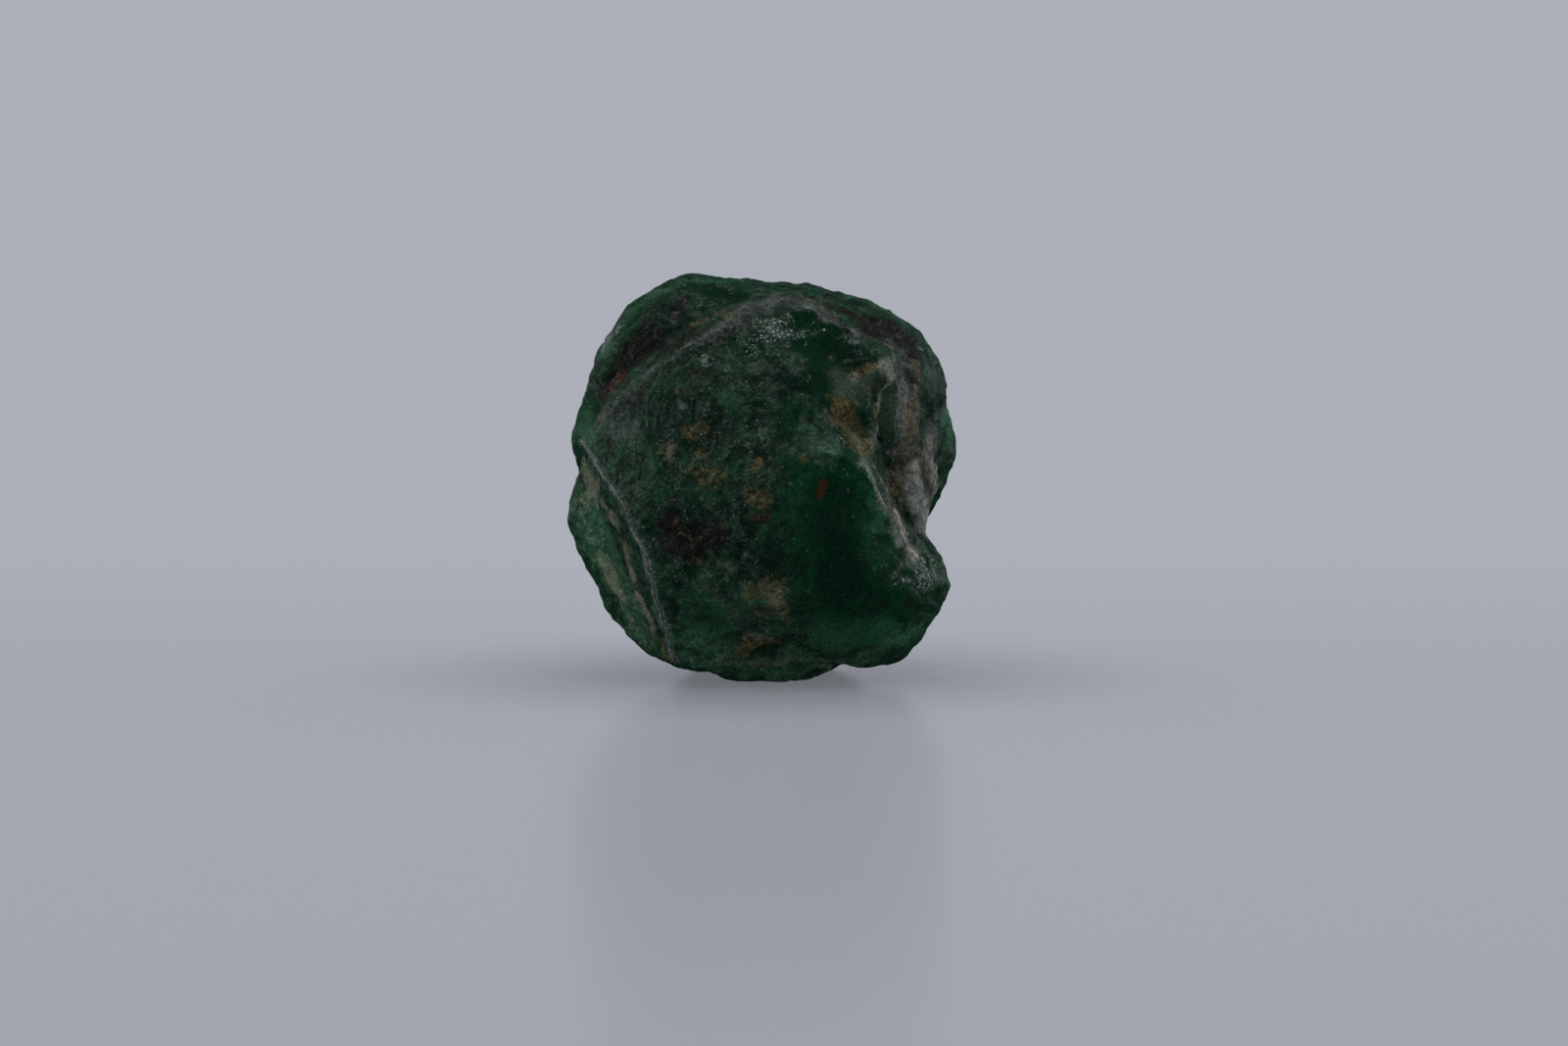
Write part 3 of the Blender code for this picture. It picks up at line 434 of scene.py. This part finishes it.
def stone_skin():
    """A fine, even copy of the solid."""
    shape = bmesh.new()
    shape.from_mesh(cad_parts[NODE].data)
    bmesh.ops.remove_doubles(shape, verts=shape.verts, dist=MERGE_DISTANCE * MM)
    rough = bpy.data.meshes.new("rough")
    shape.to_mesh(rough)
    shape.free()
    helper = bpy.data.objects.new("helper", rough)
    bpy.context.scene.collection.objects.link(helper)
    remesh = helper.modifiers.new("skin", "REMESH")
    remesh.mode = "VOXEL"
    remesh.voxel_size = SKIN_VOXEL * MM
    soften = helper.modifiers.new("soften", "SMOOTH")
    soften.iterations = SOFTEN_ROUNDS
    soften.factor = SOFTEN_SHARE
    graph = bpy.context.evaluated_depsgraph_get()
    mesh = bpy.data.meshes.new_from_object(helper.evaluated_get(graph))
    bpy.data.objects.remove(helper)
    mesh.name = STONE
    return mesh


def surface_finder(mesh):
    shape = bmesh.new()
    shape.from_mesh(mesh)
    tree = BVHTree.FromBMesh(shape)
    shape.free()

    def find(right, up):
        """The place on the stone that lies so far right and up, seen from the front."""
        run = VIEW_AHEAD * VIEW_RUN * MM
        start = Vector((right, 0, VIEW_FLOOR)) * MM + VIEW_UP * up * MM - run
        hit = tree.ray_cast(start, VIEW_AHEAD)[0] or tree.find_nearest(start + run)[0]
        return np.array(hit) / MM

    return find


def bent_points(points):
    """The points, pushed about by noise, so that a mark measured from them has a wandering border."""
    bent = points.copy()
    for frequency, reach in MARK_BEND:
        bent += reach * np.array([noise.noise_vector(Vector(p) * frequency) for p in points])
    return bent


def nearest_on(points, start, end):
    """The way from the nearest place on a straight run to each point."""
    along = end - start
    share = np.clip((points - start) @ along / (along @ along), 0, 1)
    return points - start - share[:, None] * along


def distance_to_path(points, path):
    nearest = np.linalg.norm(points - path[0], axis=1)
    for start, end in zip(path[:-1], path[1:]):
        nearest = np.minimum(nearest, np.linalg.norm(nearest_on(points, start, end), axis=1))
    return nearest


def side_of_path(points, path):
    """How far each point lies from the path, and the same with a sign for its side."""
    nearest = np.full(len(points), np.inf)
    across = np.zeros(len(points))
    for start, end in zip(path[:-1], path[1:]):
        off = nearest_on(points, start, end)
        distance = np.linalg.norm(off, axis=1)
        side = np.sign(np.cross(end - start, np.array(VIEW_AHEAD)) @ off.T)
        across = np.where(distance < nearest, side * distance, across)
        nearest = np.minimum(nearest, distance)
    return nearest, across


def faded(distance, strength):
    """A mark's strength at a distance given in half widths."""
    return strength * np.clip((1 + MARK_FADE - distance) / (2 * MARK_FADE), 0, 1)


def mark_strengths(points, bent, find):
    """The strength of each kind of mark at each point, from the marks that can be seen from the front."""
    strengths = {}
    for name, marks in MARKS.items():
        total = np.zeros(len(points))
        for path, half_width, strength in marks:
            distance = distance_to_path(bent, [find(*place) for place in path]) / half_width
            total = np.maximum(total, faded(distance, strength))
        strengths[name] = total
    return strengths


def unseen_patches(points, normals, frequency, share, shift):
    """Blotches for the sides and the back, so that they look like the front."""
    away = Vector((shift, 0, 0))
    level = np.array([noise.fractal(Vector(p) * frequency + away, *UNSEEN_CHARACTER) for p in points])
    edge = np.quantile(level, 1 - share)
    start, whole = TURNED_AWAY
    turned = np.clip((normals @ np.array(VIEW_AHEAD) - start) / (whole - start), 0, 1)
    return turned * np.clip(0.5 + (level - edge) * UNSEEN_CRISPNESS, 0, 1)


def paint_bands(mesh, points, bent, find):
    """Paints how strong a band is, and how far each point lies across it, for the lines along it."""
    strength = np.zeros(len(points))
    lines = np.zeros(len(points))
    gentle = points + BAND_BEND * (bent - points)
    for path, half_width, most in BANDS.values():
        nearest, across = side_of_path(gentle, [find(*place) for place in path])
        reached = faded(nearest / half_width, most)
        lines = np.where(reached > strength, across, lines)
        strength = np.maximum(strength, reached)
    paint(mesh, "band", strength)
    paint(mesh, "band_across", lines)


def paint_marks(mesh, find):
    """Paints every mark and band, and gives the strength of each kind of mark at each point."""
    points, normals = points_of(mesh), normals_of(mesh)
    bent = bent_points(points)
    strengths = mark_strengths(points, bent, find)
    for step, (name, (frequency, share, most)) in enumerate(UNSEEN.items()):
        patches = most * unseen_patches(points, normals, frequency, share, UNSEEN_SHIFT * step)
        strengths[name] = np.maximum(strengths[name], patches)
    for name, values in strengths.items():
        paint(mesh, name, values)
    paint_bands(mesh, points, bent, find)
    return strengths


def small_flats(mesh, spacing, most, calm):
    """Draws the surface towards small flats round random places."""
    random = np.random.default_rng(SEED)
    points, normals = points_of(mesh), normals_of(mesh)
    count = int(STONE_AREA / spacing**2)
    chosen = random.choice(len(points), count, replace=False)
    centres = points[chosen]
    tree = kdtree.KDTree(count)
    for index, place in enumerate(centres):
        tree.insert(place, index)
    tree.balance()
    facings = normals[chosen] + random.normal(0, CHIP_TILT, (count, 3))
    facings /= np.linalg.norm(facings, axis=1)[:, None]
    push = np.array([noise.noise_vector(Vector(p) * CHIP_BEND_RATE / spacing) for p in points])
    bent = points + CHIP_BEND * spacing * push
    found = np.array([
        [(index, distance) for _, index, distance in tree.find_n(place, CHIP_NEIGHBOURS)] for place in bent
    ])
    nearest = found[:, :, 0].astype(int)
    away = found[:, :, 1]
    weight = np.exp((away[:, :1] - away) * CHIP_CRISPNESS / spacing)
    weight /= weight.sum(axis=1)[:, None]
    over = ((points[:, None] - centres[nearest]) * facings[nearest]).sum(axis=2)
    over = most * np.tanh(over / most)
    moved = ((weight * over)[:, :, None] * facings[nearest]).sum(axis=1)
    put_points(mesh, points - calm[:, None] * moved)


def stroke_relief(mesh, find):
    """Presses in the fine grooves and raises the ridges."""
    points, normals = points_of(mesh), normals_of(mesh)
    bent = points + STROKE_BEND * (bent_points(points) - points)
    for path, half_width, depth in STROKES.values():
        distance = distance_to_path(bent, [find(*place) for place in path]) / half_width
        points -= normals * (depth * np.exp(-distance**2))[:, None]
    put_points(mesh, points)


def grain(mesh, calm):
    """Roughens the surface, least where it is glassy."""
    points, normals = points_of(mesh), normals_of(mesh)
    for frequency, height in GRAIN:
        lift = np.array([noise.fractal(Vector(p) * frequency, *GRAIN_CHARACTER) for p in points])
        points += normals * (calm * lift * height)[:, None]
    put_points(mesh, points)


def paint_relief(mesh):
    """Half on level ground, more on raised parts and less in hollows."""
    points, normals = points_of(mesh), normals_of(mesh)
    edges = np.empty(len(mesh.edges) * 2, dtype=int)
    mesh.edges.foreach_get("vertices", edges)
    starts, ends = edges.reshape(-1, 2).T
    joined = np.bincount(edges, minlength=len(points))[:, None]
    level = points.copy()
    for _ in range(RELIEF_ROUNDS):
        total = np.zeros_like(level)
        for axis in range(3):
            total[:, axis] += np.bincount(starts, level[ends, axis], len(points))
            total[:, axis] += np.bincount(ends, level[starts, axis], len(points))
        level = total / joined
    raised = ((points - level) * normals).sum(axis=1)
    raised -= np.median(raised)
    paint(mesh, "relief", 0.5 + 0.5 * np.tanh(raised / RELIEF_HEIGHT))


def make_stone():
    """The skin is painted before it is broken up, so that its marks lie on the plain form."""
    mesh = stone_skin()
    find = surface_finder(mesh)
    strengths = paint_marks(mesh, find)
    calm = 1 - GLASS_CALM * strengths["glass"]
    for spacing, most in CHIPS:
        small_flats(mesh, spacing, most, calm)
    stroke_relief(mesh, find)
    grain(mesh, calm)
    paint_relief(mesh)
    stone = bpy.data.objects.new(STONE, mesh)
    bpy.context.scene.collection.objects.link(stone)
    return stone


class Nodes:
    """Short ways to add nodes to the tree of a material or of the world."""

    def __init__(self, owner):
        self.owner = owner
        owner.use_nodes = True
        self.tree = owner.node_tree
        self.surface = self.tree.nodes.get("Principled BSDF")

    def node(self, kind, inputs=None, **settings):
        made = self.tree.nodes.new("ShaderNode" + kind)
        for key, value in settings.items():
            setattr(made, key, value)
        for key, value in (inputs or {}).items():
            self.feed(made.inputs[key], value)
        return made

    def feed(self, socket, value):
        if isinstance(value, bpy.types.NodeSocket):
            self.tree.links.new(value, socket)
        else:
            socket.default_value = value

    def math(self, operation, first, second=0.0, clamp=False):
        return self.node("Math", {0: first, 1: second}, operation=operation, use_clamp=clamp).outputs[0]

    def vector_math(self, operation, *vectors):
        return self.node("VectorMath", dict(enumerate(vectors)), operation=operation)

    def times(self, *factors):
        product = factors[0]
        for factor in factors[1:]:
            product = self.math("MULTIPLY", product, factor)
        return product

    def plus(self, *terms):
        total = terms[0]
        for term in terms[1:]:
            total = self.math("ADD", total, term)
        return total

    def minus(self, value, *terms):
        for term in terms:
            value = self.math("SUBTRACT", value, term)
        return value

    def rest_of(self, share):
        return self.math("SUBTRACT", 1.0, share, clamp=True)

    def mix(self, share, first, second):
        made = self.node("Mix", {0: share, 6: first, 7: second}, data_type="RGBA")
        return made.outputs[2]

    def ramp(self, value, low, high, to_low=0.0, to_high=1.0):
        """A smooth step from `to_low` at `low` to `to_high` at `high`."""
        inputs = {"Value": value, "From Min": low, "From Max": high, "To Min": to_low, "To Max": to_high}
        return self.node("MapRange", inputs, interpolation_type="SMOOTHSTEP").outputs["Result"]

    def near(self, value, level, reach):
        """1 where the value is at this level, and nothing farther off than the reach."""
        off = self.math("ABSOLUTE", self.minus(value, level))
        return self.ramp(off, 0.0, reach, 1.0, 0.0)

    def noise(self, place, scale, detail, roughness):
        inputs = {"Vector": place, "Scale": scale, "Detail": detail, "Roughness": roughness}
        return self.node("TexNoise", inputs).outputs[0]

    def bent(self, place, scale, reach):
        """The place, pushed about by noise, so that cells and lines aren't straight."""
        push = self.node("TexNoise", {"Vector": place, "Scale": scale, "Detail": 2.0}).outputs[1]
        centred = self.vector_math("SUBTRACT", push, (0.5, 0.5, 0.5)).outputs[0]
        return self.vector_math("MULTIPLY_ADD", centred, (reach,) * 3, place).outputs[0]

    def stretched(self, place, lean, length, width):
        """The place in cells of this length and width, leaning by this angle as seen from the front."""
        inputs = {"Vector": place, "Rotation": (0, lean, 0), "Scale": (length, width, width)}
        return self.node("Mapping", inputs, vector_type="TEXTURE").outputs[0]

    def splinters(self, place, cell):
        """Cells of a broken face: how high each tilted flat lies, and a number of its own for each cell."""
        cells = self.node("TexVoronoi", {"Vector": place, "Scale": 1 / cell})
        tilt = self.vector_math("SUBTRACT", cells.outputs["Color"], (0.5, 0.5, 0.5)).outputs[0]
        reach = self.vector_math("SUBTRACT", place, cells.outputs["Position"]).outputs[0]
        height = self.vector_math("DOT_PRODUCT", tilt, reach).outputs["Value"]
        own = self.node("SeparateColor", {0: cells.outputs["Color"]}).outputs
        return self.times(height, self.ramp(own[1], 0.55, 0.95, 0.25, 1.6)), own[0]

    def crumbs(self, place, share):
        """Specks in this share of the cells round `place`: where they are, and each one's own number."""
        cells = self.node("TexVoronoi", {"Vector": place, "Scale": 1.0})
        own = self.node("SeparateColor", {0: cells.outputs["Color"]}).outputs
        there = self.math("LESS_THAN", own[0], share)
        reach = self.minus(cells.outputs["Distance"], self.ramp(own[1], 0.0, 1.0, 0.25, 0.55))
        return self.times(there, self.ramp(reach, -0.08, 0.08, 1.0, 0.0)), own[2]

    def painted(self, name):
        return self.node("Attribute", attribute_name=name).outputs["Fac"]

    def mark(self, name, rag, softness, amount):
        """One painted mark, its border broken up by the noise `rag`."""
        strength = self.painted(name)
        pushed = self.plus(strength, self.times(self.minus(rag, 0.5), amount))
        border = self.ramp(pushed, MARK_LEVEL - softness, MARK_LEVEL + softness)
        return self.times(border, self.ramp(strength, 0.0, 0.2))


class StoneShader(Nodes):
    """The stone's material. What its colour, gloss and relief share is worked out first."""

    def __init__(self):
        super().__init__(bpy.data.materials.new("rough_emerald"))
        metres = self.node("TexCoord").outputs["Object"]
        self.place = self.node("Mapping", {"Vector": metres, "Scale": (1 / MM,) * 3}).outputs[0]
        self.cloud = self.noise(self.place, *CLOUD)
        self.mottle = self.noise(self.place, *MOTTLE)
        self.rag = self.noise(self.place, *RAG)
        self.dusty = self.noise(self.place, *DUST_GRAINS)
        self.speck = self.noise(self.place, *SPECK)
        self.find_parts()
        self.find_cracks()
        self.find_frost()
        self.find_lines()

    def border(self, name):
        """A painted mark with its own border."""
        return self.mark(name, self.mottle if name in WIDE_BORDERS else self.rag, *BORDERS[name])

    def lay(self, tone, *shares):
        """Lays a tone over the colour so far."""
        self.colour = self.mix(self.times(*shares), self.colour, tone)

    def find_parts(self):
        """The glassy, rough and gritty parts, and what stands out or lies low."""
        self.glass = self.ramp(self.painted("glass"), 0.2, 0.8)
        self.rough_part = self.rest_of(self.glass)
        patchy = self.ramp(self.noise(self.place, *PATCHES), 0.43, 0.57, 0.1, 1.0)
        self.grit = self.times(self.border("grit"), self.rough_part, patchy)
        relief = self.painted("relief")
        self.raised = self.ramp(relief, 0.5, 0.95)
        self.hollow = self.ramp(relief, 0.5, 0.1)

    def find_cracks(self):
        """Pale and dark cracks, and pale wisps, each along a level of a noise."""
        crack_noise = self.noise(self.bent(self.place, *CRACK_BEND), *CRACKS)
        ground = self.plus(self.times(self.grit, 0.7), self.times(self.rough_part, 0.2))
        self.crack = self.times(self.near(crack_noise, 0.5, 0.016), self.ramp(self.rag, 0.46, 0.6), ground)
        self.dark_crack = self.near(crack_noise, 0.44, 0.014)
        wisp_noise = self.noise(self.bent(self.place, *WISP_BEND), *WISPS)
        self.wisp = self.near(wisp_noise, 0.5, 0.06)

    def find_frost(self):
        """Frost, specks and needles: thick in clusters on the rough parts and on painted glints, a few
        anywhere.
        """
        cluster = self.ramp(self.noise(self.place, *CLUSTERS), 0.44, 0.66)
        powder = self.ramp(self.dusty, 0.53, 0.63)
        self.painted_glint = self.border("painted_glint")
        frost = self.plus(
            self.times(self.grit, cluster, 0.6),
            self.times(self.grit, self.raised, 0.5),
            self.times(self.rough_part, cluster, 0.15),
            self.painted_glint,
        )
        self.frost = self.times(powder, frost)
        self.wavy = self.bent(self.place, *SPECK_BEND)
        speck_share = self.plus(
            self.times(self.grit, cluster, 0.3),
            self.times(self.grit, 0.04),
            self.times(self.painted_glint, powder, 0.5),
            0.004,
        )
        fine = self.stretched(self.wavy, 0, FINE_SPECK, FINE_SPECK)
        self.fine_specks, self.fine_own = self.crumbs(fine, speck_share)
        needle_share = self.plus(self.times(self.grit, cluster, 0.2), self.times(self.painted_glint, 0.3))
        self.needles = self.crumbs(self.stretched(self.wavy, NEEDLE_LEAN, *NEEDLE), needle_share)[0]

    def find_lines(self):
        """The fine lines along bands, and the threads of the silky parts."""
        across = self.times(self.painted("band_across"), BAND_LINES)
        across = self.plus(across, self.times(self.mottle, 2.5), self.times(self.rag, 0.6))
        inputs = {"W": across, "Detail": 2.0, "Scale": 1.0}
        self.lines = self.node("TexNoise", inputs, noise_dimensions="1D").outputs[0]
        self.band = self.times(self.border("band"), self.ramp(self.mottle, 0.36, 0.56, 0.45, 1.0))
        self.silk = self.border("silk")
        self.threads = self.noise(self.stretched(self.wavy, SILK_LEAN, *SILK_THREAD), *SILK_THREADS)

    def lay_greens(self):
        """The body's greens, deep to clear, cloudy and dusty, with painted highlight on raised parts and
        glow at thin edges.
        """
        self.colour = self.mix(self.ramp(self.mottle, 0.36, 0.66), DEEP_GREEN, BODY_GREEN)
        self.lay(CLOUD_GREEN, self.ramp(self.cloud, 0.5, 0.72), 0.7)
        self.lay(CLOUD_GREEN, self.ramp(self.rag, 0.53, 0.63), self.rough_part, 0.5)
        self.lay(DEEP_GREEN, self.ramp(self.rag, 0.48, 0.38), self.rough_part, 0.6)
        # painted highlight: raised parts laid a paler green
        self.lay(CLOUD_GREEN, self.raised, self.rough_part, 0.35)
        # partly painted glow: paler and clear green where light comes through thin parts
        self.lay(PALE_GREEN, self.border("pale"), 0.55)
        self.lay(CLEAR_GREEN, self.border("clear"), 0.75)
        wispy = self.mark("clear", self.rag, *WISP_BORDER)
        self.lay(WISP, wispy, self.wisp, self.ramp(self.rag, 0.42, 0.58), 0.55)
        self.lay(DEEP_GREEN, self.dark_crack, self.rough_part, 0.6)
        self.lay(DUST, self.ramp(self.mottle, 0.6, 0.42), self.grit, 0.2)
        self.lay(DEEP_GREEN, self.border("deep"), 0.85)

    def lay_greys(self):
        """Mica, silk with painted sheen, frost, pale cracks, bands with painted highlights, and the shade
        in hollows.
        """
        mica_tone = self.mix(self.ramp(self.dusty, 0.38, 0.6), MICA_DARK, MICA_GREY)
        self.mica = self.border("mica")
        self.lay(mica_tone, self.mica, 0.75)
        # silky threads with painted sheen
        self.lay(self.mix(self.ramp(self.threads, 0.35, 0.62), SILK_DARK, SILK_AND_SHEEN_GREY), self.silk, 0.85)
        self.lay(MILKY, self.frost, 0.65)
        self.lay(MILKY, self.crack, 0.5)
        # silvery lines along the edges, partly painted highlights
        self.lay(self.mix(self.ramp(self.lines, 0.38, 0.64), MICA_DARK, SILVER_AND_HIGHLIGHT), self.band, 0.75)
        shade = self.plus(self.times(self.grit, 0.5), self.times(self.rough_part, 0.22))
        self.lay(DEEP_GREEN, self.hollow, shade)

    def lay_stains(self):
        """Dark pit and painted shade, ochre, cream and rust stains, milky spots and painted highlights,
        haze and slot.
        """
        self.dark = self.border("dark")
        # painted shade: brown-black laid in hollows and grooves, over the real dark pit
        self.lay(PIT_AND_SHADE_BROWN, self.dark, 0.9)
        ochre = self.mix(self.ramp(self.rag, 0.4, 0.62), OCHRE_DARK, OCHRE)
        self.lay(ochre, self.border("stain"), self.ramp(self.dusty, 0.42, 0.58, 0.4, 1.0), 0.85)
        self.lay(CREAM, self.border("cream"), self.ramp(self.dusty, 0.42, 0.6, 0.35, 1.0), 0.85)
        self.lay(RUST, self.border("rust"), 0.6)
        # milky spots, partly painted highlights
        self.lay(MILKY, self.border("milky_and_highlight"), self.ramp(self.dusty, 0.38, 0.56, 0.45, 1.0), 0.55)
        self.lay(HAZE, self.border("haze"), 0.5)
        self.lay(SLOT_GREEN, self.ramp(self.painted("slot"), 0.4, 0.55), 0.9)

    def lay_specks(self):
        """Bright specks, partly painted glints, needles, white painted glints, and a fine grain over all of
        it.
        """
        # pale specks, partly painted pinpoint glints over the rough parts
        salt = self.mix(self.ramp(self.fine_own, 0.2, 0.9), SAND, MILKY)
        # painted glints: the specks turn white where glints are painted
        salt = self.mix(self.painted_glint, salt, PAINTED_GLINT_WHITE)
        bright = self.plus(0.8, self.times(self.painted_glint, 0.2))
        self.lay(salt, self.fine_specks, bright, self.ramp(self.dark, 0.0, 1.0, 1.0, 0.45))
        # painted glints: white flecks over the grains
        self.lay(PAINTED_GLINT_WHITE, self.painted_glint, self.ramp(self.dusty, 0.59, 0.61))
        self.lay(MILKY, self.needles, self.plus(0.4, self.times(self.painted_glint, 0.4)))
        grainy = self.ramp(self.speck, 0.3, 0.7, 0.55, 1.45)
        grey = self.node("CombineXYZ", {0: grainy, 1: grainy, 2: grainy}).outputs[0]
        self.colour = self.vector_math("MULTIPLY", self.colour, grey).outputs[0]

    def gloss(self, mirror):
        """Smooth where glassy, on single mirror-like flats and where glints are painted."""
        dull = self.plus(STONE_ROUGHNESS, self.times(self.mica, 0.1))
        rough = self.minus(dull, self.times(self.glass, 0.2), self.times(mirror, 0.14))
        return self.times(rough, self.ramp(self.painted_glint, 0.0, 1.0, 1.0, 0.36))

    def bumps(self, flats):
        """The height, in millimetres, of everything too fine for the skin."""
        still = self.ramp(self.glass, 0.0, 0.8, 0.15, 0.01)
        crisp = self.plus(self.times(self.grit, 0.8), self.times(self.painted_glint, 0.6), still)
        return self.plus(
            self.times(flats, crisp),
            self.times(self.mottle, 0.1),
            self.times(self.speck, self.rough_part, 0.02),
            self.times(self.frost, 0.04),
            self.times(self.rag, self.grit, 0.045),
            self.times(self.fine_specks, 0.012),
            self.times(self.crack, 0.03),
            self.times(self.needles, 0.02),
            self.times(self.lines, self.band, 0.05),
            self.times(self.threads, self.silk, 0.05),
        )


def stone_material():
    shader = StoneShader()
    shader.lay_greens()
    shader.lay_greys()
    shader.lay_stains()
    shader.lay_specks()
    broken = shader.bent(shader.place, *CELL_BEND)
    big = shader.splinters(broken, BIG_SPLINTER)[0]
    small, small_own = shader.splinters(broken, SMALL_SPLINTER)
    flats = shader.plus(shader.times(big, BIG_SPLINTER_TILT), shader.times(small, SMALL_SPLINTER_TILT))
    mirror = shader.ramp(small_own, *MIRRORS)
    bump = shader.node("Bump", {"Height": shader.bumps(flats), "Strength": 1.0, "Distance": MM})
    sockets = shader.surface.inputs
    shader.feed(sockets["Base Color"], shader.colour)
    shader.feed(sockets["Roughness"], shader.gloss(mirror))
    shader.feed(sockets["Normal"], bump.outputs[0])
    sockets["IOR"].default_value = REFRACTION
    sockets["Specular IOR Level"].default_value = REFLECTION
    return shader.owner


def table_material():
    """Pale acrylic that turns into the backdrop's tone far away, so that the front view has no horizon."""
    shader = Nodes(bpy.data.materials.new("pale_acrylic"))
    place = shader.node("TexCoord").outputs["Object"]
    away = shader.node("SeparateXYZ", {0: place}).outputs["Y"]
    # painted shadow: the glow is dimmed round the stone
    shade = shader.ramp(shader.vector_math("LENGTH", place).outputs["Value"], *TABLE_PAINTED_SHADOW)
    # painted light: the table glows, more towards the back
    glow = shader.times(shader.ramp(away, *TABLE_PAINTED_GLOW), shade)
    sockets = shader.surface.inputs
    sockets["Base Color"].default_value = TABLE_COLOUR
    sockets["Roughness"].default_value = TABLE_ROUGHNESS
    sockets["Emission Color"].default_value = BACKDROP_COLOUR
    shader.feed(sockets["Emission Strength"], glow)
    return shader.owner


def backdrop_material():
    shader = Nodes(bpy.data.materials.new("pale_paper"))
    glow = shader.node("Emission", {"Color": BACKDROP_COLOUR})
    shader.feed(shader.tree.nodes["Material Output"].inputs["Surface"], glow.outputs[0])
    return shader.owner


def round_sheet(name, height, material):
    """A disc, or an open round wall where it has a height."""
    shape = bmesh.new()
    radius = STAGE_RADIUS
    if height:
        bmesh.ops.create_cone(
            shape, cap_ends=False, segments=STAGE_SEGMENTS, radius1=radius, radius2=radius, depth=height
        )
    else:
        bmesh.ops.create_circle(shape, cap_ends=True, segments=STAGE_SEGMENTS, radius=radius)
    mesh = bpy.data.meshes.new(name)
    shape.to_mesh(mesh)
    shape.free()
    mesh.materials.append(material)
    sheet = bpy.data.objects.new(name, mesh)
    bpy.context.scene.collection.objects.link(sheet)
    return sheet


def make_stage():
    table = round_sheet("table_top", 0, table_material())
    table.visible_glossy = False
    backdrop = round_sheet("backdrop", BACKDROP_HEIGHT, backdrop_material())
    backdrop.visible_diffuse = False
    backdrop.visible_glossy = False
    backdrop.visible_shadow = False


def soft_light(name, place, size, watts):
    data = bpy.data.lights.new(name, "AREA")
    data.shape = "RECTANGLE"
    data.size, data.size_y = size
    data.energy = watts
    light = bpy.data.objects.new(name, data)
    light.location = place
    light.rotation_mode = "QUATERNION"
    light.rotation_quaternion = (LAMP_AIM - Vector(place)).to_track_quat("-Z", "Y")
    light.visible_camera = False
    bpy.context.scene.collection.objects.link(light)
    return light


def make_world():
    """Soft light, less of it from the front. Reflections see a dark room with a pale wall at the back."""
    world = bpy.data.worlds.new("studio")
    bpy.context.scene.world = world
    shader = Nodes(world)
    glossy = shader.node("LightPath").outputs["Is Glossy Ray"]
    direction = shader.node("TexCoord").outputs["Generated"]
    parts = shader.node("SeparateXYZ", {0: direction})
    back, up = parts.outputs["Y"], parts.outputs["Z"]
    wall = shader.times(
        shader.ramp(back, -0.35, 0.7),
        shader.ramp(up, -0.15, 0.05),
        shader.ramp(up, 0.1, 0.5, 1.0, 0.08),
    )
    reflected = shader.mix(wall, ROOM_DARK, WALL_LIGHT)
    spread = shader.mix(shader.ramp(back, -0.7, 0.2), FRONT_LIGHT, ROOM_LIGHT)
    shader.feed(shader.tree.nodes["Background"].inputs["Color"], shader.mix(glossy, spread, reflected))


def make_light(stone):
    """The lamps and the room. The low lamps light the stone alone, so the table shows no image of them."""
    lit = bpy.data.collections.new("lit_by_low_lamps")
    lit.objects.link(stone)
    lamps = [soft_light(*lamp) for lamp in LAMPS]
    for lamp in lamps[1:]:
        lamp.light_linking.receiver_collection = lit
    make_world()
    bpy.context.scene.view_settings.view_transform = "Standard"


def make_camera():
    data = bpy.data.cameras.new("camera")
    data.sensor_width = CAMERA_SENSOR
    data.lens = CAMERA_LENS
    data.clip_start = CAMERA_NEAREST
    camera = bpy.data.objects.new("camera", data)
    camera.location = CAMERA_AIM - VIEW_AHEAD * CAMERA_DISTANCE
    camera.rotation_mode = "QUATERNION"
    camera.rotation_quaternion = VIEW_AHEAD.to_track_quat("-Z", "Y")
    bpy.context.scene.collection.objects.link(camera)
    bpy.context.scene.camera = camera


noise.seed_set(SEED)
stone = make_stone()
stone.data.materials.append(stone_material())
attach(stone, "root")
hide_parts(NODE)
make_stage()
make_light(stone)
make_camera()
